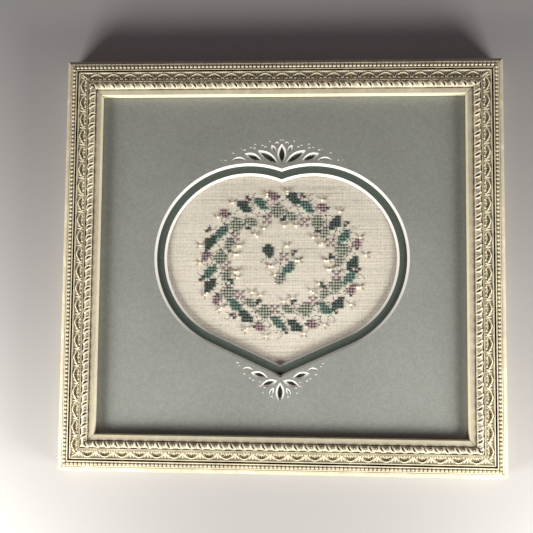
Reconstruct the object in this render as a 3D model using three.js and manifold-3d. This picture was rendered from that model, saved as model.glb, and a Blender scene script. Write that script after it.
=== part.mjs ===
// Framed petit point picture: a mitred ivory moulding that holds a double mat with a
// heart-shaped opening and carved leaf fans, stretched linen and a backing board. It is unglazed.
// Millimetres. +Z points out of the picture's face, +Y to its top edge and +X to its right.
// The origin is the middle of the frame in the plane of its back.

import * as THREE from "three";
import { mergeVertices } from "three/addons/utils/BufferGeometryUtils.js";
import Module from "manifold-3d";

const wasm = await Module();
wasm.setup();

// Frame
const frameWidth = 254;
const frameHeight = 239;
const mouldingWidth = 21.25;
const rabbetWidth = 4.25;
const rabbetDepth = 9;
const pieceGap = 0.3; // between any two pieces that touch on the real picture

// Boards and cloth, from the back to the front
const backRecess = 0.8; // the backing board sits this deep inside the back
const backingThickness = 3;
const linenThickness = 1;
const matThickness = 1.5;
const fitPlay = 0.5; // room round each board in the rabbet
const linenMargin = 3; // the cloth stops this far inside the board's edge

// Heart-shaped opening: two round lobes with straight sides to a tip, given at the top mat's face
const lobeRadius = 55.1;
const lobeOffset = 18.7; // each lobe's centre from the middle line
const lobeHeight = 3.8; // each lobe's centre above the frame's middle
const tipHeight = -65.4;
const lobeSteps = 24;
const openingBevel = 1.2; // plan width of the bevel round a heart
const leafBevel = 1.1; // and round a leaf
const innerReveal = 4.35; // band of the inner mat that shows

// Leaf-shaped cuts right through the top mat, on the right half: the left half mirrors them.
// turn is the leaf's direction in degrees from +X.
const petalCuts = [
  { x: 0, y: 64.6, turn: 90, length: 11.6, width: 5.1 },
  { x: 8.15, y: 62.95, turn: 32.6, length: 13.8, width: 4.5 },
  { x: 16.7, y: 62.7, turn: 23.6, length: 10.6, width: 4 },
  { x: 0, y: -73.6, turn: 90, length: 11, width: 4.8 },
  { x: 6.4, y: -68.6, turn: -18, length: 9.6, width: 3.8 },
  { x: 11.9, y: -64.05, turn: 16, length: 9.7, width: 3.8 },
];
const petalSteps = 5; // steps in a quarter of a leaf's outline
const petalPoint = 0.95; // more makes the leaves' ends longer and sharper
const tipRatio = 1.8; // a leaf's tip moves in this much further than its sides
const cutterReach = 0.06; // cutting tools stand this far past both faces

const curveSteps = 4; // lines in each curve of the moulding's section

const sightWidth = frameWidth - 2 * mouldingWidth;
const sightHeight = frameHeight - 2 * mouldingWidth;
const boardWidth = sightWidth + 2 * (rabbetWidth - fitPlay);
const boardHeight = sightHeight + 2 * (rabbetWidth - fitPlay);

const finishes = {
  ivory: { color: 0xe9dfc0, roughness: 0.45, metalness: 0 },
  sageBoard: { color: 0x8f9389, roughness: 0.95, metalness: 0 },
  greenBoard: { color: 0x4a5a52, roughness: 0.9, metalness: 0 },
  linen: { color: 0xd9cfbd, roughness: 1, metalness: 0 },
  kraftBoard: { color: 0x9a8468, roughness: 0.95, metalness: 0 },
};

const picture = new THREE.Group();

function addPiece(name, geometry, finish, parent = picture) {
  const mesh = new THREE.Mesh(geometry, new THREE.MeshStandardMaterial(finishes[finish]));
  mesh.name = name;
  parent.add(mesh);
  return mesh;
}

// The moulding's section: x runs in from the outer edge, y up from the back.
function mouldingSection() {
  const section = new THREE.Shape();
  section.moveTo(0, 0);
  section.lineTo(0, 9.6);
  section.quadraticCurveTo(0.1, 12.5, 2.95, 13.45); // rounded outer strip
  section.lineTo(3.9, 13.35);
  section.lineTo(3.98, 13); // bed of the bead row
  section.lineTo(5.55, 12.9);
  section.quadraticCurveTo(5.9, 13.5, 6.42, 13.75);
  section.lineTo(6.5, 12.1); // deep groove
  section.lineTo(7.42, 12.1);
  section.lineTo(7.48, 13.4);
  section.lineTo(8.25, 13.35);
  section.quadraticCurveTo(11.4, 11.9, 13, 13.9); // cove that carries the scrollwork
  section.lineTo(13.55, 14.4);
  section.lineTo(13.7, 13.5);
  section.quadraticCurveTo(16.1, 15.5, 17.72, 13.2); // rope band, the highest line of the frame
  section.lineTo(17.78, 12.65);
  section.lineTo(17.98, 12.65);
  section.lineTo(18.08, 13); // plain flat that ends at the sight edge
  section.lineTo(20.85, 12.9);
  section.quadraticCurveTo(mouldingWidth, 12.88, mouldingWidth, 12.5);
  section.lineTo(mouldingWidth, rabbetDepth);
  section.lineTo(mouldingWidth - rabbetWidth, rabbetDepth); // ledge that holds the mats
  section.lineTo(mouldingWidth - rabbetWidth, 0);
  section.closePath();
  return section;
}

// One straight rail along X with its outer edge on the X axis and its ends cut at 45 degrees.
function railGeometry(length) {
  const rail = new THREE.ExtrudeGeometry(mouldingSection(), {
    depth: length,
    bevelEnabled: false,
    curveSegments: curveSteps,
  });
  rail.translate(0, 0, -length / 2);
  const seam = (pieceGap / 2) * Math.SQRT2; // along the rail, for half the gap across the mitre
  const place = rail.attributes.position;
  for (let i = 0; i < place.count; i += 1) {
    const cutBack = place.getX(i) + seam;
    place.setZ(i, place.getZ(i) - Math.sign(place.getZ(i)) * cutBack);
  }
  const lieAlongX = new THREE.Matrix4().makeBasis(
    new THREE.Vector3(0, 1, 0),
    new THREE.Vector3(0, 0, 1),
    new THREE.Vector3(1, 0, 0),
  );
  return rail.applyMatrix4(lieAlongX);
}

function addRails() {
  const rails = [
    { name: "rail_bottom", length: frameWidth, reach: frameHeight / 2, quarterTurns: 0 },
    { name: "rail_right", length: frameHeight, reach: frameWidth / 2, quarterTurns: 1 },
    { name: "rail_top", length: frameWidth, reach: frameHeight / 2, quarterTurns: 2 },
    { name: "rail_left", length: frameHeight, reach: frameWidth / 2, quarterTurns: 3 },
  ];
  for (const { name, length, reach, quarterTurns } of rails) {
    const side = new THREE.Group();
    side.rotation.z = (quarterTurns * Math.PI) / 2;
    addPiece(name, railGeometry(length), "ivory", side).position.y = -reach;
    picture.add(side);
  }
}

function board(width, height, thickness, low) {
  return new THREE.BoxGeometry(width, height, thickness).translate(0, 0, low + thickness / 2);
}

// The heart moved inwards by inset, clockwise from the cleft.
function heartOutline(inset) {
  const radius = lobeRadius - inset;
  const toTip = new THREE.Vector2(lobeOffset, lobeHeight - tipHeight);
  const sideAngle = toTip.angle() - Math.asin(lobeRadius / toTip.length());
  const cleftAngle = Math.acos(-lobeOffset / radius);
  const right = [];
  for (let i = 0; i <= lobeSteps; i += 1) {
    const angle = THREE.MathUtils.lerp(cleftAngle, sideAngle - Math.PI / 2, i / lobeSteps);
    const x = lobeOffset + radius * Math.cos(angle);
    right.push(new THREE.Vector2(x, lobeHeight + radius * Math.sin(angle)));
  }
  const tip = new THREE.Vector2(0, tipHeight + inset / Math.cos(sideAngle));
  const left = right.slice(1).reverse().map((point) => new THREE.Vector2(-point.x, point.y));
  return [...right, tip, ...left];
}

// A pointed leaf, narrowed on both sides by inset.
function leafOutline({ x, y, turn, length, width }, inset) {
  const reach = length / 2 - tipRatio * inset;
  const half = width / 2 - inset;
  const middle = new THREE.Vector2();
  const place = new THREE.Vector2(x, y);
  const turned = THREE.MathUtils.degToRad(turn);
  const outline = [];
  for (let i = 0; i < 4 * petalSteps; i += 1) {
    const angle = (i / (2 * petalSteps)) * Math.PI;
    const side = Math.sin(angle);
    const point = new THREE.Vector2(Math.cos(angle) * reach, side * Math.abs(side) ** petalPoint * half);
    outline.push(point.rotateAround(middle, turned).add(place));
  }
  return outline;
}

// A cutting tool for a hole with a bevel: outlineAt(inset) gives the hole's outline.
function bevelledCutter(outlineAt, bevelRun, matBase) {
  const insetAt = (z) => (bevelRun * (matBase + matThickness - z)) / matThickness;
  const low = matBase - cutterReach;
  const high = matBase + matThickness + cutterReach;
  const rings = [low, high].map((z) => ({ z, outline: outlineAt(insetAt(z)) }));
  const count = rings[0].outline.length;
  const positions = rings.flatMap(({ z, outline }) => outline.flatMap(({ x, y }) => [x, y, z]));
  const triangles = [];
  rings.forEach(({ outline }, ring) => {
    const start = ring * count;
    for (const [a, b, c] of THREE.ShapeUtils.triangulateShape(outline, [])) {
      triangles.push(a + start, ring ? b + start : c + start, ring ? c + start : b + start);
    }
  });
  for (let i = 0; i < count; i += 1) {
    const next = (i + 1) % count;
    triangles.push(i, next, next + count, i, next + count, i + count);
  }
  const cutter = new THREE.BufferGeometry();
  cutter.setAttribute("position", new THREE.Float32BufferAttribute(positions, 3));
  cutter.setIndex(triangles);
  return cutter;
}

function toSolid(geometry) {
  const bare = geometry.clone();
  bare.deleteAttribute("normal");
  bare.deleteAttribute("uv");
  const merged = mergeVertices(bare);
  const vertProperties = new Float32Array(merged.attributes.position.array);
  const triVerts = new Uint32Array(merged.index.array);
  return new wasm.Manifold(new wasm.Mesh({ numProp: 3, vertProperties, triVerts }));
}

function toGeometry(solid) {
  const { vertProperties, triVerts } = solid.getMesh();
  const geometry = new THREE.BufferGeometry();
  geometry.setAttribute("position", new THREE.BufferAttribute(vertProperties, 3));
  geometry.setIndex(new THREE.BufferAttribute(triVerts, 1));
  return geometry;
}

function matGeometry(low, openingInset, leaves) {
  const opening = (inset) => heartOutline(openingInset + inset).reverse();
  const cutters = [bevelledCutter(opening, openingBevel, low)];
  for (const leaf of leaves) {
    cutters.push(bevelledCutter((inset) => leafOutline(leaf, inset), leafBevel, low));
  }
  const blank = toSolid(board(boardWidth, boardHeight, matThickness, low));
  return toGeometry(cutters.reduce((mat, cutter) => mat.subtract(toSolid(cutter)), blank));
}

function bothHalves(leaves) {
  const mirrored = leaves
    .filter((leaf) => leaf.x > 0)
    .map((leaf) => ({ ...leaf, x: -leaf.x, turn: 180 - leaf.turn }));
  return [...leaves, ...mirrored];
}

// Everything that lies in the rabbet, stacked from the back to the front.
function addStack() {
  const linenWidth = boardWidth - 2 * linenMargin;
  const linenHeight = boardHeight - 2 * linenMargin;
  const backingLow = backRecess;
  const linenLow = backingLow + backingThickness + pieceGap;
  const innerLow = linenLow + linenThickness + pieceGap;
  const topLow = innerLow + matThickness + pieceGap;
  addPiece("backing_board", board(boardWidth, boardHeight, backingThickness, backingLow), "kraftBoard");
  addPiece("linen", board(linenWidth, linenHeight, linenThickness, linenLow), "linen");
  addPiece("mat_inner", matGeometry(innerLow, openingBevel + innerReveal, []), "greenBoard");
  addPiece("mat_top", matGeometry(topLow, 0, bothHalves(petalCuts)), "sageBoard");
}

addRails();
addStack();

export default picture;
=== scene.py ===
import random
from math import acos, asin, atan2, ceil, cos, hypot, pi, radians, sin, sqrt

import bpy
import numpy as np
from mathutils import Matrix, Vector


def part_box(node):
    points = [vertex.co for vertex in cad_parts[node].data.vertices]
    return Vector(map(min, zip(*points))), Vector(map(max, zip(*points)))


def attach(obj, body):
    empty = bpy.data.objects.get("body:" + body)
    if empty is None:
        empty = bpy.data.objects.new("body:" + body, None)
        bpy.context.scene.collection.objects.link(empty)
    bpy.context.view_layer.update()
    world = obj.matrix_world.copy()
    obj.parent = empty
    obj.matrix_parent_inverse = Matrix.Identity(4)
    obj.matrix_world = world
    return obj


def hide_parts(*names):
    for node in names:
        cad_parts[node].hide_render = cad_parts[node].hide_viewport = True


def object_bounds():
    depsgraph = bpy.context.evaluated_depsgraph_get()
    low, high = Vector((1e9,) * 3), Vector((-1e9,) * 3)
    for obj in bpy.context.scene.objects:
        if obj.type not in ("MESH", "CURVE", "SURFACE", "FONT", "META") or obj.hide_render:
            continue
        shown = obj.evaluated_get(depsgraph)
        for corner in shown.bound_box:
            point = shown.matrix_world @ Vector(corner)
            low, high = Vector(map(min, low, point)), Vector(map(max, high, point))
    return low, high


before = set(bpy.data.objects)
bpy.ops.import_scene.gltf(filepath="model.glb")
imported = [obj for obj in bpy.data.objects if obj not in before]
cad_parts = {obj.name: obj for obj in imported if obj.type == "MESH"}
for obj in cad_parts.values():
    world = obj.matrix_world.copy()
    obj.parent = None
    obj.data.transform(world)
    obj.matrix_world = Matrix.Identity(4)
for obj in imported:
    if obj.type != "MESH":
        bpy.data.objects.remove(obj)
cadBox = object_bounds()
mm = 0.001
middle = (cadBox[0] + cadBox[1]) / 2
frameSize = cadBox[1] - cadBox[0]


def selectOnly(piece):
    bpy.ops.object.select_all(action="DESELECT")
    piece.select_set(True)
    bpy.context.view_layer.objects.active = piece


def startEditing(piece, selectAll=True):
    selectOnly(piece)
    bpy.ops.object.mode_set(mode="EDIT")
    bpy.ops.mesh.select_mode(type="VERT")
    bpy.ops.mesh.select_all(action="SELECT" if selectAll else "DESELECT")


def stopEditing():
    bpy.ops.object.mode_set(mode="OBJECT")


def turnOutwards():
    bpy.ops.mesh.select_all(action="SELECT")
    bpy.ops.mesh.normals_make_consistent()


def extrude(*shift):
    bpy.ops.mesh.extrude_region_move(TRANSFORM_OT_translate={"value": shift})


def readPoints(piece):
    points = np.empty(len(piece.data.vertices) * 3)
    piece.data.vertices.foreach_get("co", points)
    return points.reshape(-1, 3)


def writePoints(piece, points):
    piece.data.vertices.foreach_set("co", points.astype(np.float32).ravel())
    piece.data.update()


def pickedPoints(piece):
    picked = np.empty(len(piece.data.vertices), bool)
    piece.data.vertices.foreach_get("select", picked)
    return picked


def paintPoints(piece, name, values):
    layer = piece.data.attributes.new(name, "FLOAT", "POINT")
    layer.data.foreach_set("value", np.asarray(values, np.float32))


def prism(outline, *shift):  # a closed solid: a flat outline of points, extruded by shift
    bpy.ops.mesh.primitive_circle_add(vertices=len(outline), radius=mm, fill_type="NGON")
    piece = bpy.context.object
    writePoints(piece, outline)
    startEditing(piece)
    extrude(*shift)
    turnOutwards()
    stopEditing()
    return piece


def extrudeRim(piece):  # doubles the open edge and returns which points are new
    startEditing(piece, False)
    bpy.ops.mesh.select_non_manifold()
    extrude(0, 0, 0)
    stopEditing()
    return pickedPoints(piece)


def closeRim():  # one face across the rim that is still selected
    bpy.ops.object.mode_set(mode="EDIT")
    bpy.ops.mesh.edge_face_add()
    stopEditing()


def applyModifier(piece, kind, **settings):
    selectOnly(piece)
    modifier = piece.modifiers.new(kind.title(), kind)
    for key, value in settings.items():
        setattr(modifier, key, value)
    bpy.ops.object.modifier_apply(modifier=modifier.name)


def arrayAlong(piece, count, pitch, **settings):
    applyModifier(piece, "ARRAY", count=count, use_relative_offset=False, use_constant_offset=True,
                  constant_offset_displace=(pitch, 0, 0), **settings)


def joinPieces(pieces):
    selectOnly(pieces[0])
    for piece in pieces[1:]:
        piece.select_set(True)
    if len(pieces) > 1:
        bpy.ops.object.join()
    return bpy.context.object


def smoothShade(piece, degrees):
    selectOnly(piece)
    bpy.ops.object.shade_smooth_by_angle(angle=radians(degrees))


def bendPoints(start, bend, end, steps):
    t = np.linspace(0, 1, steps + 1)[:, None]
    start, bend, end = (np.array(p, float) for p in (start, bend, end))
    return (1 - t) ** 2 * start + 2 * t * (1 - t) * bend + t**2 * end


def smoothStep(low, high, values):
    t = np.clip((values - low) / (high - low), 0, 1)
    return t * t * (3 - 2 * t)


def fadeEdges(width, a, fade):  # 0 at both edges of a band, 1 from so far inside them
    return smoothStep(0, fade, a) * smoothStep(0, fade, width - a)


def roundTop(distance):  # a half round: 1 in its middle, 0 from a distance of 1
    return np.sqrt(np.clip(1 - distance**2, 0, 1))


def hexColor(code):  # sRGB hex to the linear colour a shader wants
    parts = [int(code[i:i + 2], 16) / 255 for i in (1, 3, 5)]
    return tuple(c / 12.92 if c <= 0.04045 else ((c + 0.055) / 1.055) ** 2.4 for c in parts) + (1,)


def addNode(tree, kind, inputs=None, **settings):
    node = tree.nodes.new(kind)
    for key, value in settings.items():
        setattr(node, key, value)
    for socket, value in (inputs or {}).items():
        if isinstance(value, bpy.types.NodeSocket):
            tree.links.new(value, node.inputs[socket])
        else:
            node.inputs[socket].default_value = value
    return node


def noise(tree, place, scale, detail, roughness=0.5):
    inputs = {"Vector": place, "Scale": scale, "Detail": detail, "Roughness": roughness}
    return addNode(tree, "ShaderNodeTexNoise", inputs).outputs["Fac"]


def subtract(tree, value, taken):
    return addNode(tree, "ShaderNodeMath", {0: value, 1: taken}, operation="SUBTRACT").outputs[0]


def multiplyAdd(tree, value, factor, added):
    inputs = {0: value, 1: factor, 2: added}
    return addNode(tree, "ShaderNodeMath", inputs, operation="MULTIPLY_ADD").outputs[0]


def mixColors(tree, factor, lowCode, highCode):
    inputs = {"Factor": factor, 6: hexColor(lowCode), 7: hexColor(highCode)}
    return addNode(tree, "ShaderNodeMix", inputs, data_type="RGBA").outputs[2]


def startMaterial(name):
    material = bpy.data.materials.new(name)
    material.use_nodes = True
    tree = material.node_tree
    shader = tree.nodes["Principled BSDF"]
    place = addNode(tree, "ShaderNodeTexCoord").outputs["Object"]
    return material, tree, shader, place


def setShader(shader, settings):
    for socket, value in settings.items():
        shader.inputs[socket].default_value = value


def finishSurface(tree, shader, color, height, strength, distance):
    tree.links.new(color, shader.inputs["Base Color"])
    bump = addNode(tree, "ShaderNodeBump", {"Height": height, "Strength": strength, "Distance": distance})
    tree.links.new(bump.outputs["Normal"], shader.inputs["Normal"])


def useMaterials(piece, *materials):
    piece.data.materials.clear()
    for material in materials:
        piece.data.materials.append(material)


# The camera looks nearly straight down, from a little way towards the bottom right.
view = {
    "offset": (6.4 * mm, -33.3 * mm),  # from the middle of the frame
    "height": 353.7 * mm,
    "lean": (3.11, 2.40, 0.52),  # degrees about X, Y and Z
    "lens": 40.5,
    "rise": 0.0426,
    "nearest": 0.01,  # metres
}
camera = bpy.data.objects.new("camera", bpy.data.cameras.new("camera"))
bpy.context.scene.collection.objects.link(camera)
camera.data.lens = view["lens"]
camera.data.shift_y = view["rise"]
camera.data.clip_start = view["nearest"]
camera.location = (middle.x + view["offset"][0], middle.y + view["offset"][1], cadBox[0].z + view["height"])
camera.rotation_euler = [radians(angle) for angle in view["lean"]]
bpy.context.scene.camera = camera
bpy.context.scene.view_settings.view_transform = "Standard"

# Two low soft windows, past the bottom left and bottom right corners, light a dim mauve room.
light = {
    "away": 0.45,  # metres over the table, from the frame's middle
    "windows": ((-51.5, 0.127), (51.5, 0.127)),  # degrees round from the bottom edge, metres up
    "windowSize": (0.26, 0.14),
    "windowPower": 3.7,
    "roomColor": "#d3c5d0",
    "roomStrength": 0.2,
}
for number, (around, height) in enumerate(light["windows"]):
    lamp = bpy.data.lights.new(f"windowLight{number}", "AREA")
    window = bpy.data.objects.new(lamp.name, lamp)
    bpy.context.scene.collection.objects.link(window)
    lamp.shape = "RECTANGLE"
    lamp.size, lamp.size_y = light["windowSize"]
    lamp.energy = light["windowPower"]
    angle = radians(around)
    away = Vector((sin(angle) * light["away"], -cos(angle) * light["away"], height))
    window.location = middle + away
    window.rotation_euler = (-away).to_track_quat("-Z", "Y").to_euler()
room = bpy.data.worlds.new("room")
room.use_nodes = True
setShader(room.node_tree.nodes["Background"],
          {"Color": hexColor(light["roomColor"]), "Strength": light["roomStrength"]})
bpy.context.scene.world = room
print("camera and lights are in place")


def antiqueIvory():
    # painted gesso: ivory on everything high, umber wash and dust in the hollows;
    # the wash attribute also holds painted shade on the outer side and shoulder and beside the frieze's
    # arches
    material, tree, shader, place = startMaterial("antiqueIvoryGesso")
    wash = addNode(tree, "ShaderNodeAttribute", attribute_name="wash").outputs["Fac"]
    patches = noise(tree, place, 320, 6, 0.65)
    clouds = noise(tree, place, 28, 3)
    worn = multiplyAdd(tree, subtract(tree, patches, 0.5), 0.35, wash)
    worn = multiplyAdd(tree, subtract(tree, clouds, 0.5), 0.3, worn)
    dustRange = {"Value": noise(tree, place, 110, 3), "From Min": 0.52, "From Max": 0.62, "To Max": 0.4}
    dust = addNode(tree, "ShaderNodeMapRange", dustRange).outputs[0]
    worn = multiplyAdd(tree, dust, subtract(tree, 1, wash), worn)
    paint = addNode(tree, "ShaderNodeValToRGB", {"Fac": worn})
    stops = ((0.0, "#18151a"), (0.3, "#76685c"), (0.6, "#b9ad92"), (0.85, "#d2c8a9"), (1.0, "#dfd6b5"))
    while len(paint.color_ramp.elements) < len(stops):
        paint.color_ramp.elements.new(0.5)
    for element, (position, code) in zip(paint.color_ramp.elements, stops):
        element.position = position
        element.color = hexColor(code)
    setShader(shader, {"Roughness": 0.42, "Specular IOR Level": 0.4})
    finishSurface(tree, shader, paint.outputs["Color"], patches, 0.25, 0.12 * mm)
    return material


def whiteCore():
    # the cut edge of cotton board: bright, chalky, with faint layers
    material, tree, shader, place = startMaterial("cottonBoardCore")
    waves = {"Vector": place, "Scale": 900, "Distortion": 2, "Detail": 2}
    layers = addNode(tree, "ShaderNodeTexWave", waves, bands_direction="Z").outputs["Fac"]
    setShader(shader, {"Roughness": 0.85})
    finishSurface(tree, shader, mixColors(tree, layers, "#d6d2c9", "#e4e0d7"), layers, 0.1, 0.05 * mm)
    return material


def grainMaterial(name, colors, grains, bump, shading, start=0.0, painted=None, stretch=(1, 1, 1)):
    # The tone between two colours is a start, or the points' paint, plus each grain's noise.
    # A grain is its share, scale, detail and roughness; the first gives the bump, in strength and mm.
    material, tree, shader, place = startMaterial(name)
    place = addNode(tree, "ShaderNodeMapping", {"Vector": place, "Scale": stretch}).outputs[0]
    tone = start
    if painted:
        tone = addNode(tree, "ShaderNodeAttribute", attribute_name=painted).outputs["Fac"]
    patterns = [noise(tree, place, *grain) for share, *grain in grains]
    for pattern, grain in zip(patterns, grains):
        tone = multiplyAdd(tree, pattern, grain[0], tone)
    setShader(shader, shading)
    finishSurface(tree, shader, mixColors(tree, tone, *colors), patterns[0], bump[0], bump[1] * mm)
    return material


ivory = antiqueIvory()
core = whiteCore()
rawWood = grainMaterial("bareRaminWood", ("#a98657", "#d6b98a"), [(1, 3, 5)], (0.3, 0.2),
                        {"Roughness": 0.8}, stretch=(14, 260, 260))  # fine grain along each rail
nap = [(0.95, 1500, 3, 0.7), (0.35, 420, 4, 0.6), (0.25, 22, 3)]  # suede fibres and slow clouds
napShading = {"Roughness": 0.95, "Specular IOR Level": 0.15, "Sheen Weight": 0.15}
sageFace = grainMaterial("sageSuedeBoard", ("#5f6158", "#acaea4"), nap, (0.8, 0.1), napShading, -0.26)
greenFace = grainMaterial("darkGreenBoard", ("#363f37", "#636d62"), nap, (0.5, 0.1), napShading, -0.26)
linenWeave = grainMaterial("evenweaveLinen", ("#8c8270", "#f1e9d4"), [(0.25, 2600, 3, 0.7), (0.15, 35, 2)],
                           (0.4, 0.06), {"Roughness": 0.9, "Specular IOR Level": 0.2, "Sheen Weight": 0.1},
                           painted="tone")
pearl = grainMaterial("pearlSeedBead", ("#dcd2b8", "#ece4d2"), [(1, 700, 2)], (0.05, 0.1),
                      {"Roughness": 0.35, "Coat Weight": 0.3, "Coat Roughness": 0.2})
kraft = grainMaterial("kraftBackingBoard", ("#7a6146", "#b99a72"), [(0.6, 900, 5, 0.75), (0.5, 18, 3)],
                      (0.3, 0.1), {"Roughness": 0.92})
paleTable = grainMaterial("paleTable", ("#a9a6a1", "#afaca7"), [(1, 6, 2)], (0.05, 0.5), {"Roughness": 0.9})
flossColors = {  # shaded and lit colour of each thread
    "d": ("flossForest", "#0a1715", "#365449"),
    "m": ("flossPine", "#12302a", "#628c7d"),
    "s": ("flossSage", "#464c3b", "#b3b8a4"),
    "p": ("flossPlum", "#34202c", "#a89095"),
    "k": ("flossRose", "#6a3840", "#c8a29c"),
    "e": ("flossEcru", "#ab997e", "#c2b196"),
    "v": ("flossVine", "#1f221c", "#4c5044"),
}
flossShading = {"Roughness": 0.55, "Specular IOR Level": 0.35, "Sheen Weight": 0.2}
floss = {letter: grainMaterial(name, colors, [(0.4, 3200, 2)], (0.35, 0.05), flossShading, painted="tone")
         for letter, (name, *colors) in flossColors.items()}
print("materials are mixed")

tableSize = 6  # metres
bpy.ops.mesh.primitive_plane_add(size=tableSize, location=(middle.x, middle.y, cadBox[0].z))
floor = bpy.context.object
floor.name = "floor"
bpy.ops.object.transform_apply(location=True, rotation=True, scale=True)
useMaterials(floor, paleTable)

moulding = {
    "seam": 0.11,  # mm that each mitre face stands back from the joint's middle
    "rabbetUp": 9,
    "beadPitch": 2.31,
    "beadIn": 4.77,  # middle of the bead row from the outer edge
    "beadUp": 13.2,
    "beadSize": (1.08, 0.75, 0.7),  # radii along the rail, across it and up
    "beadCut": 0.6,  # share of its radius at which the bottom of a bead is cut off
    "beadWash": (0.05, 0.9),  # ivory left between the beads and on them
    "scrollPitch": 9.9,
    "scrollCells": (46, 30),
    "ropePitch": 5.96,
    "ropeCells": (32, 22),
    "hiddenUp": 11.4,  # the relief strips are closed at this height, inside the wood
    "bodySmooth": 40,  # degrees
    "reliefSmooth": 60,
}

# Corners of the moulding's section: mm in from the outer edge, mm up from the back, how much ivory is left
# up to that corner, and for a curve the point that it leans towards. The low ivory at the top of the outer
# side (0.42) and on the outer shoulder (0.64) is painted shade.
sectionRows = [
    (0.3, 0, 0.8), (0, 0.3, 0.8), (0, 9.6, 0.42), (2.95, 13.45, 0.64, (0.1, 12.5)),
    (3.2, 13.25, 0.6), (3.35, 13.35, 0.85), (3.85, 13.3, 0.85), (3.98, 13.0, 0.7), (5.55, 12.9, 0.75),
    (6.42, 13.75, 0.75, (5.9, 13.5)), (6.5, 11.9, 0.05), (7.42, 11.9, 0.1), (7.48, 13.4, 0.3),
    (8.25, 13.35, 0.85, (7.8, 13.8)), (8.35, 12.8, 0.5), (12.85, 13.6, 0.4, (11.5, 11.4)), (13.0, 13.85, 0.6),
    (13.55, 14.4, 0.6, (13.35, 14.4)), (13.7, 13.3, 0.4), (17.6, 12.9, 0.5), (17.78, 12.65, 0.3),
    (17.98, 12.65, 0.3), (18.08, 13.0, 0.8), (19.0, 13.06, 0.8, (18.3, 13.12)), (20.85, 12.9, 0.82),
    (21.25, 12.5, 0.95, (21.25, 12.88)), (21.25, 9, 0.95), (17, 9, 0.8), (17, 0, 0.8),
]
bendSteps, bandSteps = 8, 80  # in a curve of the section, and across an ornament band
coveCurve = bendPoints((8.3, 13.2), (11.4, 11.8), (13.0, 14.2), bandSteps)
ropeCurve = bendPoints((13.65, 13.4), (16.1, 15.5), (17.72, 13.2), bandSteps)


def sectionOutline():
    points, ivoryLeft = [], []
    for inward, up, wash, *bend in sectionRows:
        ends = [np.array((inward, up), float)]
        if bend:
            ends = bendPoints(points[-1], bend[0], ends[0], bendSteps)[1:]
        points.extend(ends)
        ivoryLeft.extend([wash] * len(ends))
    return np.array(points), np.array(ivoryLeft)


def cutMitres(piece, length, fill):
    startEditing(piece)
    reach = length / 2 - moulding["seam"] * mm * sqrt(2)
    for side in (-1, 1):
        bpy.ops.mesh.select_all(action="SELECT")
        bpy.ops.mesh.bisect(plane_co=(side * reach, 0, 0), plane_no=(side, 1, 0),
                            clear_outer=True, use_fill=fill)
    stopEditing()


def railBody(length):
    outline, ivoryLeft = sectionOutline()
    outline *= mm
    body = prism(np.column_stack((np.full(len(outline), -length / 2), outline)), length, 0, 0)
    cutMitres(body, length, True)
    toCorner = readPoints(body)[:, None, 1:] - outline[None, :, :]
    nearest = np.argmin(np.hypot(toCorner[..., 0], toCorner[..., 1]), axis=1)
    paintPoints(body, "wash", ivoryLeft[nearest])
    useMaterials(body, ivory, rawWood)
    for face in body.data.polygons:  # the back and the rabbet's wall stay bare
        sawn = face.normal.y > 0.5 and face.center.z < moulding["rabbetUp"] * mm
        face.material_index = 1 if sawn or face.normal.z < -0.5 else 0
    return body


def beadRow(length):
    along, across, up = (size * mm for size in moulding["beadSize"])
    bpy.ops.mesh.primitive_uv_sphere_add(segments=10, ring_count=6, radius=along)
    bead = bpy.context.object
    startEditing(bead)
    bpy.ops.transform.resize(value=(1, across / along, up / along))
    bottom = -moulding["beadCut"] * up
    bpy.ops.mesh.bisect(plane_co=(0, 0, bottom), plane_no=(0, 0, -1), clear_outer=True, use_fill=True)
    stopEditing()
    pitch = moulding["beadPitch"] * mm
    count = 2 * int(length / 2 / pitch) + 1
    bead.location = (-(count - 1) / 2 * pitch, moulding["beadIn"] * mm, moulding["beadUp"] * mm)
    bpy.ops.object.transform_apply(location=True, rotation=False, scale=False)
    x = readPoints(bead)[:, 0]
    fromEnd = 1 - np.abs(x - x.mean()) / along
    between, onTop = moulding["beadWash"]
    paintPoints(bead, "wash", between + (onTop - between) * smoothStep(0.05, 0.45, fromEnd))
    arrayAlong(bead, count, pitch)
    cutMitres(bead, length, True)
    useMaterials(bead, ivory)
    return bead


def strokeHeight(s, a, path, radius, rise):
    # height of a rounded stroke that follows path, at the points s, a
    path = np.asarray(path, float)
    nearest = np.full(s.shape, np.inf)
    for (s0, a0), (ds, da) in zip(path, np.diff(path, axis=0)):
        t = np.clip(((s - s0) * ds + (a - a0) * da) / (ds * ds + da * da + 1e-12), 0, 1)
        nearest = np.minimum(nearest, np.hypot(s - s0 - t * ds, a - a0 - t * da))
    return rise * roundTop(nearest / radius)


def leafHeight(s, a, root, tip, width, rise):
    # height of a pointed leaf with a centre crease
    root, tip = np.array(root, float), np.array(tip, float)
    along = tip - root
    length = np.hypot(*along)
    along /= length
    t = ((s - root[0]) * along[0] + (a - root[1]) * along[1]) / length
    side = np.abs(-(s - root[0]) * along[1] + (a - root[1]) * along[0])
    half = width / 2 * np.sin(pi * np.clip(t, 0, 1) ** 0.75)
    inside = np.clip(1 - side / np.maximum(half, 1e-6), 0, 1) * ((t > 0) & (t < 1))
    crease = 0.75 + 0.25 * np.minimum(1, side / 0.18)
    return rise * np.sqrt(inside) * crease


def spiral(x, y, startRadius, endRadius, startTurn, turns, steps):
    radius = np.linspace(startRadius, endRadius, steps)
    angle = 2 * pi * np.linspace(startTurn, startTurn + turns, steps)
    return np.column_stack((x + radius * np.cos(angle), y + radius * np.sin(angle)))


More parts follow.
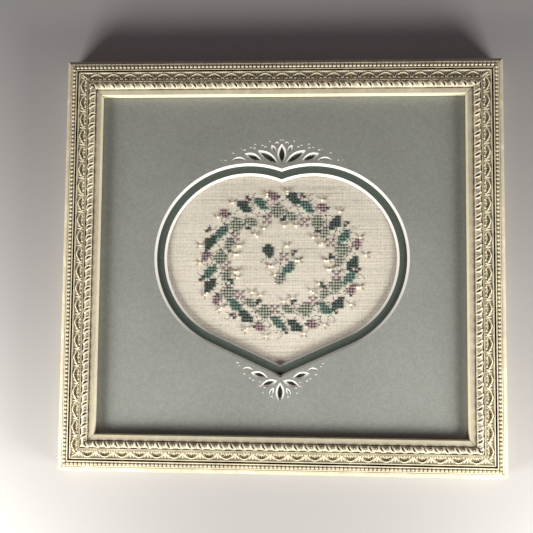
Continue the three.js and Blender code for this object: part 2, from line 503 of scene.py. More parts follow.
# The frieze in the cove, in mm along from an arch's middle and across from the band's outer edge.
# A stroke is its radius and its rise.
frieze = {
    "width": 6,  # it is drawn this wide, then fitted to the cove
    "arch": (0.5, 3.7, 1.7),  # its top, its drop over half a repeat and the power of its curve
    "archStroke": (0.42, 1.0),
    "innerArch": (1.45, 3.5, 1.8),
    "innerStroke": (0.24, 0.5),
    "curlMiddle": (2.2, 4.45),
    "curlRadii": (0.95, 0.25),
    "curlStart": 0.13,  # turns out from straight down
    "curlTurns": 1.2,
    "curlStroke": (0.23, 0.8),
    "knobUp": 4.65,
    "knobStroke": (0.5, 0.85),
    "borderIn": 0.45,
    "borderStroke": (0.2, 0.35),
    "petalUp": 4.5,
    "petals": ((-66, 2.3), (-36, 2.75), (0, 2.9), (36, 2.75), (66, 2.3)),  # degrees and reach
    "petalRoot": 0.5,
    "petalSize": (0.66, 0.75),  # width and rise
    "groundWash": 0.56,
    "lineShade": 0.18,  # painted shade along both sides of an arch
    "underWash": 0.04,
    "topWash": 0.6,
}
friezeLeaves = [  # between two arches: root and tip from the joint between two repeats, width and rise
    ((0, 3.7), (0, 0.5), 1.3, 0.65),
    ((0.5, 2.9), (2.3, 0.45), 1.0, 0.55),
    ((-0.5, 2.9), (-2.3, 0.45), 1.0, 0.55),
]


def archAcross(x, arch):
    top, drop, power = arch
    return top + drop * np.abs(2 * x / moulding["scrollPitch"]) ** power


def friezeStrokes():
    # path, radius and rise of each rounded stroke in one repeat
    half = moulding["scrollPitch"] / 2
    sweep = np.linspace(-1.12, 1.12, 29) * half
    inner = sweep[5:-5]
    border = frieze["width"] - frieze["borderIn"]
    strokes = [
        (np.column_stack((sweep, archAcross(sweep, frieze["arch"]))), *frieze["archStroke"]),
        (np.column_stack((inner, archAcross(inner, frieze["innerArch"]))), *frieze["innerStroke"]),
        ([(0, frieze["knobUp"]), (0, frieze["knobUp"] + 0.01)], *frieze["knobStroke"]),
        ([(-half, border), (half, border)], *frieze["borderStroke"]),
    ]
    out, up = frieze["curlMiddle"]
    for side in (-1, 1):
        start = 0.75 + side * frieze["curlStart"]
        curl = spiral(side * out, up, *frieze["curlRadii"], start, side * frieze["curlTurns"], 26)
        strokes.append((curl, *frieze["curlStroke"]))
    return strokes


def friezeFoliage():
    # root, tip, width and rise of each leaf in one repeat, the palmette's petals among them
    half = moulding["scrollPitch"] / 2
    leaves = []
    for *ends, leafWidth, rise in friezeLeaves:
        root, tip = ((half + along, across) for along, across in ends)
        leaves.append((root, tip, leafWidth, rise))
    for turn, reach in frieze["petals"]:
        lean = radians(turn)
        root, tip = ((sin(lean) * far, frieze["petalUp"] - cos(lean) * far)
                     for far in (frieze["petalRoot"], reach))
        leaves.append((root, tip, *frieze["petalSize"]))
    return leaves


def scrollRelief(s, a, width):
    # an arch to each repeat over a palmette and two curls, with leaves between arches
    pitch = moulding["scrollPitch"]
    a, width = a * frieze["width"] / width, frieze["width"]
    relief, underArch, shadowLine = (np.zeros(s.shape) for _ in range(3))
    for shift in (-pitch, 0, pitch):
        x = s - shift
        toArch = a - archAcross(x, frieze["arch"])
        here = np.abs(x) < pitch / 2
        besideArch = np.exp(-((toArch + 0.5) / 0.22) ** 2) + np.exp(-((toArch - 0.7) / 0.25) ** 2)
        underArch = np.maximum(underArch, smoothStep(-0.2, 0.3, toArch) * here)
        shadowLine = np.maximum(shadowLine, besideArch * here)
        for path, radius, rise in friezeStrokes():
            relief = np.maximum(relief, strokeHeight(x, a, path, radius, rise))
        for root, tip, leafWidth, rise in friezeFoliage():
            relief = np.maximum(relief, leafHeight(x, a, root, tip, leafWidth, rise))
    relief *= fadeEdges(width, a, 0.3)
    # the lines beside each arch are painted shade
    wash = frieze["groundWash"] - frieze["lineShade"] * shadowLine - frieze["underWash"] * underArch
    wash += frieze["topWash"] * smoothStep(0.2, 0.6, relief)
    return relief, np.clip(wash, 0, 0.97)


rope = {
    "slant": 34,  # degrees that a slit leans
    "middle": 0.54,  # of the band's width
    "bow": 0.12,
    "slitReach": 0.75,  # mm from a slit's middle to where its ends begin to round
    "lipReach": 1.5,
    "slitRadius": 0.4,
    "slitDepth": 0.6,
    "lip": (0.88, 0.45, 0.42),  # how far from the slit's middle line, radius and rise
    "knobUp": 0.45,
    "knobShape": (1.1, 0.8),
    "knob": (0.5, 0.18),  # radius and rise
    "moat": (0.68, 0.26, 0.25),  # how far from the knob's middle, half width and depth
    "groundWash": 0.7,
}


def ropeRelief(s, a, width):
    # a slanted slit to each repeat with a raised lip on both sides, and small knobs between
    pitch = moulding["ropePitch"]
    slant = radians(rope["slant"])
    t = a - width * rope["middle"]
    relief = np.zeros(s.shape)
    wash = np.full(s.shape, rope["groundWash"])
    lipOut, lipRadius, lipRise = rope["lip"]
    knobRadius, knobRise = rope["knob"]
    moatOut, moatHalf, moatDepth = rope["moat"]
    for shift in (-pitch, 0, pitch):
        x = s - shift
        along = x * sin(slant) - t * cos(slant)
        across = x * cos(slant) + t * sin(slant) - rope["bow"] * along**2
        toSlit = np.hypot(across, np.maximum(np.abs(along) - rope["slitReach"], 0))
        toLip = np.hypot(across, np.maximum(np.abs(along) - rope["lipReach"], 0))
        slit = 1 - smoothStep(rope["slitRadius"] - 0.14, rope["slitRadius"] + 0.16, toSlit)
        lips = roundTop((toLip - lipOut) / lipRadius)
        toKnob = np.hypot((x - pitch / 2) / rope["knobShape"][0], (t - rope["knobUp"]) / rope["knobShape"][1])
        knob = roundTop(toKnob / knobRadius)
        moat = np.clip(1 - ((toKnob - moatOut) / moatHalf) ** 2, 0, 1) * smoothStep(-0.6, 0.3, t)
        relief += -rope["slitDepth"] * slit + lipRise * lips + knobRise * knob - moatDepth * moat
        wash += -1.1 * slit + 0.3 * lips - 0.5 * moat
    edge = fadeEdges(width, a, 0.35)
    return relief * edge, np.clip(wash, 0, 1.05) * (0.45 + 0.55 * edge)


def layOnCurve(curve, reliefAt):
    # turns a relief, given by distance along and across the band, into places on the curve
    travelled = np.concatenate(([0], np.cumsum(np.hypot(*np.diff(curve, axis=0).T))))
    slope = np.gradient(curve, axis=0)
    slope /= np.hypot(*slope.T)[:, None]

    def shape(x, y):
        a = y * travelled[-1]
        relief, ivoryLeft = reliefAt(x, a, travelled[-1])
        inward = np.interp(a, travelled, curve[:, 0]) - relief * np.interp(a, travelled, slope[:, 1])
        up = np.interp(a, travelled, curve[:, 1]) + relief * np.interp(a, travelled, slope[:, 0])
        return np.column_stack((x, inward, up)), ivoryLeft

    return shape


def reliefStrip(length, pitch, cells, shape):
    # one repeat of an ornament, shaped on a grid, arrayed, cut at the mitres and closed underneath
    bpy.ops.mesh.primitive_grid_add(x_subdivisions=cells[0], y_subdivisions=cells[1], size=1)
    strip = bpy.context.object
    points = readPoints(strip) + (0.5, 0.5, 0)
    placed, ivoryLeft = shape(points[:, 0] * pitch, points[:, 1])
    writePoints(strip, placed * mm)
    paintPoints(strip, "wash", ivoryLeft)
    count = ceil(length / mm / pitch)
    arrayAlong(strip, count, pitch * mm, use_merge_vertices=True, merge_threshold=0.001 * mm)
    writePoints(strip, readPoints(strip) - (count * pitch * mm / 2, 0, 0))
    cutMitres(strip, length, False)
    rim = extrudeRim(strip)
    points = readPoints(strip)
    points[rim, 2] = moulding["hiddenUp"] * mm
    writePoints(strip, points)
    closeRim()
    useMaterials(strip, ivory)
    return strip


def buildRail(node, name, quarterTurns):
    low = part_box(node)[0]
    length, depth = (frameSize.y, frameSize.x) if quarterTurns % 2 else (frameSize.x, frameSize.y)
    body = railBody(length)
    smoothShade(body, moulding["bodySmooth"])
    bands = [(moulding["scrollPitch"], moulding["scrollCells"], layOnCurve(coveCurve, scrollRelief)),
             (moulding["ropePitch"], moulding["ropeCells"], layOnCurve(ropeCurve, ropeRelief))]
    reliefs = [beadRow(length)] + [reliefStrip(length, *band) for band in bands]
    for relief in reliefs:
        smoothShade(relief, moulding["reliefSmooth"])
    rail = joinPieces([body, *reliefs])
    rail.name = name
    turn = Matrix.Rotation(quarterTurns * pi / 2, 4, "Z")
    toEdge = Matrix.Translation((0, -depth / 2, 0))
    rail.data.transform(Matrix.Translation((middle.x, middle.y, low.z)) @ turn @ toEdge)
    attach(rail, "root")
    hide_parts(node)
    return rail


rails = [buildRail(f"rail_{side}", f"moulding{side.title()}", turns)
         for turns, side in enumerate(("bottom", "right", "top", "left"))]
print("moulding is carved:", [len(rail.data.polygons) for rail in rails])

mats = {
    "thickness": 1.6,
    "heartBevel": 1.2,  # plan width of the slanted cut
    "leafBevel": 1.1,
    "reveal": 4.35,  # band of the inner mat that shows
    "lobeRadius": 55.1,
    "lobeOffset": 18.7,
    "lobeHeight": 3.8,
    "tipHeight": -65.4,
    "lobeSteps": 90,
    "leafSteps": 9,
    "leafPoint": 0.95,  # more makes a leaf's ends longer and sharper
    "leafTip": 1.8,  # a leaf's tip moves in this many times as far as its sides
    "nickDepth": 0.45,  # share of its width
    "nickFloor": 0.46,  # how far a nick's floor is set in, as a share of its width
    "nickMouth": 0.16,
    "nickAbove": 0.3,  # a nick's cutter stands this share of its depth above the face
    "reach": 0.06,  # cutters stand this far past both faces
    "layGap": 0.02,
    "flatWithin": 0.02,  # points this near the face are set level with it
    "smooth": 30,  # degrees
}

# Cuts in the top mat's right half, mirrored on its left: x, y, turn in degrees, length, width and curve.
# Leaf cuts go right through; shallow cuts and dots stop in the white core.
leafCuts = [
    (0, 64.6, 90, 11.6, 5.1, 0),
    (8.15, 62.85, 32.6, 13.8, 4.6, 0.3),
    (16.7, 62.6, 23.6, 10.8, 4.1, 0.3),
    (0, -73.6, 90, 11, 4.8, 0),
    (6.4, -68.6, -18, 9.8, 3.9, 0.2),
    (11.9, -64.0, 16, 9.9, 3.9, 0.2),
]
shallowCuts = [
    (25.05, 61.1, 0, 8.6, 2.0, 1.1),
    (4.85, 67.55, 60.4, 4.8, 2.4, 0),
    (18.5, -60.7, 7, 6.2, 1.8, 0.8),
    (4.75, -73.2, -60.8, 4.6, 2.1, 0),
]
dotCuts = [  # x, y and width of each round nick
    (0.8, 72.4, 0.98), (2.9, 70.6, 1.89), (7.1, 71.7, 0.98), (9.6, 68.3, 1.26), (11.4, 69.2, 1.12),
    (15.6, 69.8, 1.12), (16, 67.6, 1.26), (18.3, 67.9, 0.98), (21.8, 66.4, 1.26), (23.5, 67.2, 0.7),
    (28.4, 64.6, 1.12), (32.8, 60.4, 0.98), (35.3, 60.6, 0.7), (24.5, -57.3, 1.12), (23.4, -58.9, 0.84),
    (20.5, -63.6, 1.12), (17.3, -65.9, 0.98), (15.4, -67.2, 1.12), (11.5, -68, 0.84), (11.6, -70.5, 0.98),
    (8.9, -71.3, 0.98), (9.8, -74.1, 0.84), (4.7, -76.4, 1.12),
]


def heartLine(inset):
    # two round lobes from the cleft down to straight sides that meet in a tip
    offset, rise = mats["lobeOffset"], mats["lobeHeight"] - mats["tipHeight"]
    radius = mats["lobeRadius"] - inset
    sideAngle = atan2(rise, offset) - asin(mats["lobeRadius"] / hypot(offset, rise))
    cleft = acos(-offset / radius)
    angles = np.linspace(cleft, sideAngle - pi / 2, mats["lobeSteps"] + 1)
    right = np.column_stack((offset + radius * np.cos(angles), mats["lobeHeight"] + radius * np.sin(angles)))
    tip = [(0, mats["tipHeight"] + inset / cos(sideAngle))]
    left = right[:0:-1] * (-1, 1)
    return np.vstack((right, tip, left))[::-1]


def leafLine(leaf, inset):
    x, y, turn, length, width, bow = leaf
    point, tip = (0, 1) if length == width else (mats["leafPoint"], mats["leafTip"])
    angles = np.arange(4 * mats["leafSteps"]) * pi / (2 * mats["leafSteps"])
    along = np.cos(angles) * (length / 2 - tip * inset)
    across = np.sin(angles) * np.abs(np.sin(angles)) ** point * (width / 2 - inset)
    across = across + bow * (0.5 - (2 * along / length) ** 2)
    turn = radians(turn)
    x += along * cos(turn) - across * sin(turn)
    y += along * sin(turn) + across * cos(turn)
    return np.column_stack((x, y))


def mirrored(cuts):
    return cuts + [(-x, y, 180 - turn, *size, -bow) for x, y, turn, *size, bow in cuts if x > 0]


def taperedCutter(lowLine, highLine, low, high):
    # a closed tool between two outlines with as many points; heights are in metres
    shift = np.array((middle.x, middle.y))
    lowLine, highLine = lowLine * mm + shift, highLine * mm + shift
    cutter = prism(np.column_stack((lowLine, np.full(len(lowLine), low))), 0, 0, high - low)
    points = readPoints(cutter)
    for index in np.nonzero(points[:, 2] > (low + high) / 2)[0]:
        nearest = np.argmin(np.hypot(*(lowLine - points[index, :2]).T))
        points[index, :2] = highLine[nearest]
    writePoints(cutter, points)
    return cutter


def bevelCutter(lineAt, bevel, low):
    reach, thickness = mats["reach"], mats["thickness"]
    past = bevel * reach / thickness
    high = low + (thickness + reach) * mm
    return taperedCutter(lineAt(bevel + past), lineAt(-past), low - reach * mm, high)


def nickCutter(leaf, top):
    # a shallow boat-shaped cut: its floor is a narrow line
    *_, width, bow = leaf
    depth = width * mats["nickDepth"] * mm
    floorLine = leafLine(leaf, width * mats["nickFloor"])
    mouthLine = leafLine(leaf, -width * mats["nickMouth"])
    return taperedCutter(floorLine, mouthLine, top - depth, top + mats["nickAbove"] * depth)


def buildMat(node, name, low, faceMaterial, cutters):
    boxLow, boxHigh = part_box(node)
    high = low + mats["thickness"] * mm
    bpy.ops.mesh.primitive_cube_add(size=1)
    mat = bpy.context.object
    mat.name = name
    mat.scale = (boxHigh.x - boxLow.x, boxHigh.y - boxLow.y, high - low)
    mat.location = (middle.x, middle.y, (low + high) / 2)
    bpy.ops.object.transform_apply(location=True, rotation=False, scale=True)
    for tool in cutters:
        applyModifier(mat, "BOOLEAN", operation="DIFFERENCE", object=tool, solver="EXACT")
        bpy.data.objects.remove(tool)
    points = readPoints(mat)
    points[points[:, 2] > high - mats["flatWithin"] * mm, 2] = high
    writePoints(mat, points)
    useMaterials(mat, faceMaterial, core)
    for face in mat.data.polygons:  # the coloured paper is on the flat top only
        onTop = face.normal.z > 0.95 and face.center.z > high - 0.05 * mm
        face.material_index = 0 if onTop else 1
    smoothShade(mat, mats["smooth"])
    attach(mat, "root")
    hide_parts(node)
    return mat


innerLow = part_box("mat_inner")[0].z
topLow = innerLow + (mats["thickness"] + mats["layGap"]) * mm
matFace = topLow + mats["thickness"] * mm
innerInset = mats["heartBevel"] + mats["reveal"]
innerCutters = [bevelCutter(lambda inset: heartLine(innerInset + inset), mats["heartBevel"], innerLow)]
innerMat = buildMat("mat_inner", "matInner", innerLow, greenFace, innerCutters)

dots = [(x, y, 0, width, width, 0) for x, y, width in dotCuts]
topCutters = [bevelCutter(heartLine, mats["heartBevel"], topLow)]
for leaf in mirrored(leafCuts):
    topCutters.append(bevelCutter(lambda inset, leaf=leaf: leafLine(leaf, inset), mats["leafBevel"], topLow))
topCutters += [nickCutter(leaf, matFace) for leaf in mirrored(shallowCuts) + mirrored(dots)]
topMat = buildMat("mat_top", "matTop", topLow, sageFace, topCutters)
print("mats are cut:", len(topMat.data.polygons), len(innerMat.data.polygons))

linen = {
    "threadsPerInch": 30,
    "window": (162, 137),  # threads that show, across and up
    "windowMiddle": -2.6,  # mm above the frame's middle
    "crimp": 0.1,  # mm that a thread rises at a crossing
    "heights": (1, 0.1, 0.1, -1),  # in crimps, where threads cross, on weft, on warp and in a hole
    # tones at the same places; the dark tone in a hole is painted shade
    "tones": (0.83, 0.73, 0.5, 0.1),
    "wander": 0.05,  # mm that a thread strays sideways
    "thickness": (0.12, 0.2),  # how much warp and weft threads differ in thickness
    "toneSpread": (0.016, 0.043, 0.11),  # between warp threads, weft threads and points
    "overTone": 0.03,  # every other crossing is lighter by this, and the rest are darker
    "slubs": 320,
    "thinPlace": ((14, 90), -0.16),  # shortest and longest in half threads, and change of tone
    "thickPlace": ((3, 10), 0.12),
    "seed": 5,
    "smooth": 80,  # degrees
}
inch = 25.4 * mm
pitch = inch / linen["threadsPerInch"]
clothLow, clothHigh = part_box("linen")
clothTop = clothHigh.z - linen["crimp"] * mm
windowPlace = Vector((middle.x, middle.y + linen["windowMiddle"] * mm))


def threadDrift(rng, count, length):
    # slow wander of each thread along its length
    phase = rng.uniform(0, 2 * pi, (count, 2))
    size = rng.normal(0, linen["wander"] * mm, (count, 2))
    along = 2 * pi * np.linspace(0, 1, length)[None, :]
    slow = size[:, :1] * np.sin(1.5 * along + phase[:, :1])
    return slow + size[:, 1:] * 0.6 * np.sin(4 * along + phase[:, 1:])


def wovenPoints(rng, i, j, warp, weft, spot):
    columns, rows = linen["window"]
    warpSpread, weftSpread = linen["thickness"]
    thickness = rng.normal(1, warpSpread, columns)[warp] * rng.normal(1, weftSpread, rows)[weft]
    driftX = threadDrift(rng, columns, 2 * rows + 1)
    driftY = threadDrift(rng, rows, 2 * columns + 1)
    x = (i - columns) * pitch / 2 + driftX[warp, j] + windowPlace.x
    y = (j - rows) * pitch / 2 + driftY[weft, i] + windowPlace.y
    height = np.array(linen["heights"])[spot] * thickness
    return np.column_stack((x, y, clothTop + height * linen["crimp"] * mm))


def threadTones(rng, i, j, warp, weft, spot):
    columns, rows = linen["window"]
    warpSpread, weftSpread, pointSpread = linen["toneSpread"]
    tone = np.array(linen["tones"])[spot]
    tone += rng.normal(0, warpSpread, columns)[warp] + rng.normal(0, weftSpread, rows)[weft]
    tone += np.where((warp + weft) % 2 == 0, linen["overTone"], -linen["overTone"])
    tone += rng.normal(0, pointSpread, len(tone))
    for number in range(linen["slubs"]):  # thin gaps between weft threads, darkened as painted shade, and short thick places on them
        row, start = rng.integers(rows), rng.integers(2 * columns)
        thin = number % 2 == 0
        reach, change = linen["thinPlace"] if thin else linen["thickPlace"]
        onRow = j == 2 * row if thin else weft == row
        tone[onRow & (i >= start) & (i < start + rng.integers(*reach))] += change
    return tone


def finishClothEdges(cloth):
    # the plain hidden margin out to the cloth's true size, its thickness and its underside
    rim = extrudeRim(cloth)
    points = readPoints(cloth)
    fromMiddle = points[:, :2] - windowPlace
    for axis, threads in enumerate(linen["window"]):
        atEdge = rim & (np.abs(fromMiddle[:, axis]) > (threads - 0.5) * pitch / 2)
        sides = np.where(fromMiddle[:, axis] < 0, clothLow[axis], clothHigh[axis])
        points[atEdge, axis] = sides[atEdge]
    points[rim, 2] = clothTop
    writePoints(cloth, points)
    bpy.ops.object.mode_set(mode="EDIT")
    extrude(0, 0, 0)
    stopEditing()
    points = readPoints(cloth)
    points[pickedPoints(cloth), 2] = clothLow.z
    writePoints(cloth, points)
    closeRim()


def buildLinen():
    rng = np.random.default_rng(linen["seed"])
    columns, rows = (2 * count for count in linen["window"])  # a grid line on each thread and each gap
    bpy.ops.mesh.primitive_grid_add(x_subdivisions=columns, y_subdivisions=rows, size=1)
    cloth = bpy.context.object
    cloth.name = "linenCloth"
    points = readPoints(cloth)
    i = np.rint((points[:, 0] + 0.5) * columns).astype(int)
    j = np.rint((points[:, 1] + 0.5) * rows).astype(int)
    warp, weft = (np.minimum(line // 2, count - 1) for line, count in zip((i, j), linen["window"]))
    spot = 3 - i % 2 - 2 * (j % 2)  # 0 where threads cross, 1 on weft, 2 on warp, 3 in a hole
    writePoints(cloth, wovenPoints(rng, i, j, warp, weft, spot))
    paintPoints(cloth, "tone", threadTones(rng, i, j, warp, weft, spot))
    finishClothEdges(cloth)
    useMaterials(cloth, linenWeave)
    smoothShade(cloth, linen["smooth"])
    return cloth


cloth = buildLinen()
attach(cloth, "root")
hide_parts("linen")
print("linen is woven:", len(cloth.data.polygons))

stitches = {
    "seed": 11,
    "strand": 0.21,  # mm radius of each strand of floss in a cross
    "sides": 5,
    "steps": 3,
    "endWidth": 0.62,  # of a strand's middle width
    "endGap": 0.35,  # of the gap between strands side by side
    "flatness": 0.85,
    "sink": 0.1,  # mm that a strand's ends lie below the cloth's top
    "tones": (-0.75, 1.25),  # painted shade at a strand's end, and how much lighter its middle is painted
    "bow": 0.3,  # mm that a leg of a cross bows up
    "upperLeg": 0.24,  # mm that the upper leg lies above the lower
    "legLength": 0.98,  # of the cell's diagonal
    "legGap": 0.95,  # strand radii from a leg's line to each of its two strands
    "crossTurn": 0.05,  # radians
    "crossTone": 0.1,  # how much crosses differ in tone
    "straightTone": 0.12,
    "smooth": 60,  # degrees
}
vines = {"strand": 0.19, "bow": 0.2, "sides": (0,)}
buds = {"strand": 0.29, "bow": 0.05, "sides": (-0.43, 0, 0.43)}  # mm from its line to each of its strands
pearlShape = {
    "radius": 0.8,
    "cap": 0.97,  # what lies further out than this share of the radius is cut off for the hole
    "length": 0.86,  # along its hole, of its width
    "lift": 0.9,  # radii from the cloth to its middle
    "roll": 0.6,  # radians
}
garland = {  # an oval wreath of common leaves, blossoms, vines and pearl buds, measured in crosses
    "ring": (23, 19.5),  # from the middle to the garland's middle line, across and up
    "ringMiddle": 2,  # above the cloth window's middle
    "bouquets": 9,
    "stemStarts": (0.1, 0.45, 0.8),  # of a wave
    "stemWave": 2.9,
    "curlTurns": 5.2 / (2 * pi),
    "curlEnd": 0.25,  # of its radius
    "budReach": (0.45, 2.3),  # from a pearl to the root and the tip of its leaves
    "budSpread": 0.58,  # radians
    "pearlGap": 0.85,
}
cell = 2 * pitch  # each cross covers two threads
random.seed(stitches["seed"])

# Small charts, one letter a cross: d forest, m pine, s sage, p plum, k rose
charts = {
    "slantLeaf": ["..dd", ".ddd", "dddd", "dddd", "dd.."],
    "roundLeaf": [".dd.", "dddd", "dddd", ".ddd", "..d."],
    "pineLeaf": ["..mm", ".mmm", "mmmm", "mmm.", "m..."],
    "sageLeaf": [".sss.", "sssss", "sssss", ".sss.", "..s.."],
    "sageTip": [".ss", "sss", "sss", "ss."],
    "blossom": [".pk", "kpp", "ppk", ".d."],
    "smallBlossom": ["p.p", ".k.", "p.p"],
    "berry": ["kd", "d."],
    "sprig": ["d.", "dd"],
}
# One bouquet of the garland: chart, turn round the ring (0 to 1 of a bouquet) and crosses out from its line
bouquet = [
    ("slantLeaf", 0.02, 2.4), ("sageLeaf", 0.34, -1.8), ("blossom", 0.36, 3.6), ("smallBlossom", 0.62, -3.8),
    ("pineLeaf", 0.68, 1.2), ("sageTip", 0.98, -3.4), ("berry", 0.84, 4.4), ("sprig", 0.16, -4.4),
]
budPlaces = [(0.52, 5.4), (0.16, 6.0), (0.12, -6.8), (0.80, -6.2)]  # turn and crosses out
curls = [  # turn and crosses out as above, then the radius in crosses and which way it turns
    (0.44, 2.2, 2.4, 1), (0.9, 1.6, 2.0, -1), (0.2, -3.6, 1.8, -1), (0.7, 4.6, 1.7, 1), (0.55, -1.2, 1.6, 1),
]
middleSprig = [
    ("roundLeaf", -4, 4), ("pineLeaf", 3, -2), ("smallBlossom", 1, 2), ("sageTip", 0, -6), ("berry", 5, 3),
]
middleBuds = [(-4, -1), (-2, -4), (6, 1), (2, 6)]


def ringPlace(turn, out):
    # column and row at a turn (0 to 1) round the oval, and so many crosses out from it
    angle = 2 * pi * turn
    wide, tall = garland["ring"]
    return (wide + out) * cos(angle), (tall + out) * sin(angle) + garland["ringMiddle"]


def placeChart(cells, chart, column, row, quarterTurns):
    drawn = np.rot90([list(line) for line in charts[chart]], quarterTurns)
    for (down, across), letter in np.ndenumerate(drawn):
        if letter != ".":
            key = (round(column) + across - drawn.shape[1] // 2, round(row) - down + drawn.shape[0] // 2)
            cells.setdefault(key, letter)


def chartCells():
    # every cross of the embroidery as {(column, row): letter}
    cells = {}
    for number in range(garland["bouquets"]):
        for chart, along, out in bouquet:
            turn = (number + along) / garland["bouquets"]
            placeChart(cells, chart, *ringPlace(turn, out), round(4 * turn))
    for chart, column, row in middleSprig:
        placeChart(cells, chart, column, row + garland["ringMiddle"], 0)
    return cells


def strandMesh(length, radius, bow, side):
    # one bowed strand along X with closed, sunken ends; its tone is painted shade where it dives into the
    # cloth and rises to the lit colour in its middle
    bpy.ops.mesh.primitive_circle_add(vertices=stitches["sides"], radius=radius, rotation=(0, pi / 2, 0))
    strand = bpy.context.object
    bpy.ops.object.transform_apply(location=False, rotation=True, scale=False)
    startEditing(strand)
    for _ in range(stitches["steps"]):
        extrude(length / stitches["steps"], 0, 0)
    bpy.ops.mesh.select_non_manifold()
    bpy.ops.mesh.fill_holes(sides=0)
    turnOutwards()
    stopEditing()
    points = readPoints(strand)
    arc = np.sin(pi * points[:, 0] / length)
    width = stitches["endWidth"] + (1 - stitches["endWidth"]) * arc
    gap = stitches["endGap"] + (1 - stitches["endGap"]) * arc
    points[:, 0] -= length / 2
    points[:, 1] = points[:, 1] * width + side * gap
    points[:, 2] = points[:, 2] * width * stitches["flatness"] + bow * arc**0.7 - stitches["sink"] * mm
    writePoints(strand, points)
    endTone, more = stitches["tones"]
    paintPoints(strand, "tone", endTone + more * arc**1.6)
    return strand


def crossUnit():
    # a full cross over one cell, two strands a leg: the upper leg rises to the left
    radius = stitches["strand"] * mm
    legs = []
    for lift, turn in ((0, pi / 4), (stitches["upperLeg"], -pi / 4)):
        for side in (-radius * stitches["legGap"], radius * stitches["legGap"]):
            length = cell * sqrt(2) * stitches["legLength"]
            leg = strandMesh(length, radius, (stitches["bow"] + lift) * mm, side)
            leg.data.transform(Matrix.Rotation(turn, 4, "Z"))
            legs.append(leg)
    return joinPieces(legs)


def copyUnit(name, unit, placements, material):
    # one joined mesh with a copy of the unit at each placement, which is a matrix and a tone
    base = readPoints(unit)
    shade = np.zeros(len(base), np.float32)
    if unit.data.attributes.get("tone"):
        unit.data.attributes["tone"].data.foreach_get("value", shade)
    faces = [list(face.vertices) for face in unit.data.polygons]
    points, allFaces, tones = [], [], []
    for number, (matrix, tone) in enumerate(placements):
        points.append(base @ np.array(matrix.to_3x3()).T + np.array(matrix.translation))
        start = number * len(base)
        allFaces.extend([[start + v for v in face] for face in faces])
        tones.extend(tone + shade)
    mesh = bpy.data.meshes.new(name)
    mesh.from_pydata(np.vstack(points).tolist(), [], allFaces)
    piece = bpy.data.objects.new(name, mesh)
    bpy.context.scene.collection.objects.link(piece)
    paintPoints(piece, "tone", tones)
    bpy.data.objects.remove(unit)
    useMaterials(piece, material)
    smoothShade(piece, stitches["smooth"])
    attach(piece, "root")
    return piece


def cellPlace(column, row, up=0.0):
    return Vector((windowPlace.x + column * cell, windowPlace.y + row * cell, clothTop + up))


def crossPlacements(cells):
    placements = []
    for column, row in sorted(cells):
        turn = Matrix.Rotation(random.gauss(0, stitches["crossTurn"]), 4, "Z")
        tone = random.gauss(0.5, stitches["crossTone"])
        placements.append((Matrix.Translation(cellPlace(column, row)) @ turn, tone))
    return placements


def pearlUnit():
    # a round bead lying on its side, with a hole right through
    radius = pearlShape["radius"] * mm
    bpy.ops.mesh.primitive_uv_sphere_add(segments=14, ring_count=10, radius=radius)
    ball = bpy.context.object
    startEditing(ball, False)
    stopEditing()
    ball.data.vertices.foreach_set("select", np.abs(readPoints(ball)[:, 2]) > pearlShape["cap"] * radius)
    bpy.ops.object.mode_set(mode="EDIT")
    bpy.ops.mesh.delete(type="VERT")
    bpy.ops.mesh.select_non_manifold()
    bpy.ops.mesh.bridge_edge_loops()
    turnOutwards()
    bpy.ops.transform.resize(value=(1, 1, pearlShape["length"]))
    stopEditing()
    ball.data.transform(Matrix.Rotation(pi / 2, 4, "Y"))
    return ball


def vineHoles():
    # the runs of holes that vines pass through: wavy stems, curls and the middle sprig's two stems
    runs = []
    count, up = garland["bouquets"], garland["ringMiddle"]
    for phase in garland["stemStarts"]:
        turns = np.linspace(0, 1, 30 * count + 1)
        waves = garland["stemWave"] * np.sin(2 * pi * (turns * count + phase))
        runs.append([ringPlace(turn, wave) for turn, wave in zip(turns, waves)])
    for number in range(count):
        for along, out, size, hand in curls:
            turn = (number + along) / count
            runs.append(spiral(*ringPlace(turn, out), size, size * garland["curlEnd"],
                               turn, hand * garland["curlTurns"], 30))
    t = np.linspace(0, 1, 40)
    runs.append(zip(14 * t - 7, up + 2.4 * np.sin(7 * t)))
    runs.append(zip(1 - 3 * t, up + 6 - 14 * t + np.sin(9 * t)))
    return runs


def vineStitches():
    # back stitches between holes a thread or two apart, with half crosses allowed
    segments = []
    for run in vineHoles():
        holes = [(round(2 * x) / 2, round(2 * y) / 2) for x, y in run]
        changes = [hole for k, hole in enumerate(holes) if k == 0 or hole != holes[k - 1]]
        segments.extend(zip(changes[:-1:2], changes[2::2]))
    return segments


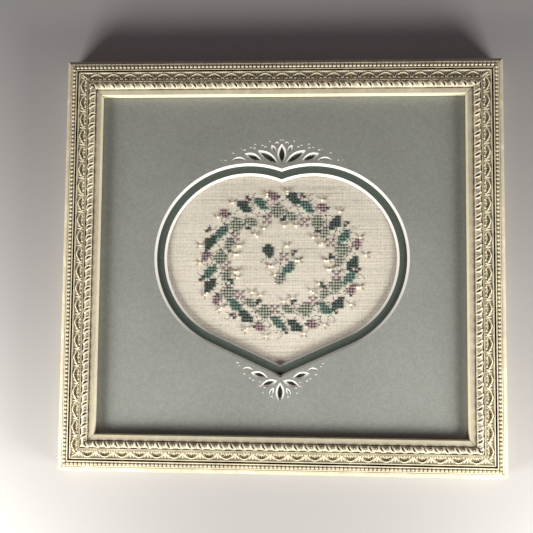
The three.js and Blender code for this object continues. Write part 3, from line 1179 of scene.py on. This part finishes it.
def pearlBuds():
    # pearls, and the pair of straight stitches that open from each bud, away from the middle
    up = garland["ringMiddle"]
    places = [ringPlace((number + along) / garland["bouquets"], out)
              for number in range(garland["bouquets"]) for along, out in budPlaces]
    places += [(column, row + up) for column, row in middleBuds]
    pearls, leaves = [], []
    for column, row in places:
        column, row = round(column), round(row)
        heading = pi / 4 * round(atan2(row - up, column) / (pi / 4))
        pearls.append((column, row))
        if (column + row) % 2:  # about half the buds have a second pearl
            gap = garland["pearlGap"]
            pearls.append((column - gap * cos(heading), row - gap * sin(heading)))
        for spread in (-garland["budSpread"], garland["budSpread"]):
            along = cos(heading + spread), sin(heading + spread)
            leaves.append([(column + reach * along[0], row + reach * along[1])
                           for reach in garland["budReach"]])
    return pearls, leaves


def straightStitches(name, segments, kind, material):
    radius, bow = kind["strand"] * mm, kind["bow"] * mm
    unit = joinPieces([strandMesh(cell, radius, bow, side * mm) for side in kind["sides"]])
    placements = []
    for start, end in segments:
        start, end = cellPlace(*start), cellPlace(*end)
        span = end - start
        stretch = Matrix.Diagonal((span.length / cell, 1, 1, 1))
        turn = Matrix.Rotation(atan2(span.y, span.x), 4, "Z")
        tone = random.gauss(0.5, stitches["straightTone"])
        placements.append((Matrix.Translation((start + end) / 2) @ turn @ stretch, tone))
    return copyUnit(name, unit, placements, material)


def sewPearls(places):
    lift = pearlShape["radius"] * mm * pearlShape["lift"]
    placements = []
    for column, row in places:
        roll = random.uniform(-pearlShape["roll"], pearlShape["roll"])
        matrix = Matrix.Translation(cellPlace(column, row, lift)) @ Matrix.Rotation(roll, 4, "Z")
        placements.append((matrix, 0.5))
    return copyUnit("pearlBeads", pearlUnit(), placements, pearl)


cells = chartCells()
for letter in "dmspk":
    name = floss[letter].name.replace("floss", "cross")
    placements = crossPlacements(place for place, drawn in cells.items() if drawn == letter)
    copyUnit(name, crossUnit(), placements, floss[letter])
pearls, leafPairs = pearlBuds()
straightStitches("backStitchVines", vineStitches(), vines, floss["v"])
straightStitches("budLeaves", leafPairs, buds, floss["e"])
sewPearls(pearls)

useMaterials(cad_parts["backing_board"], kraft)  # the board keeps the frame's own shape
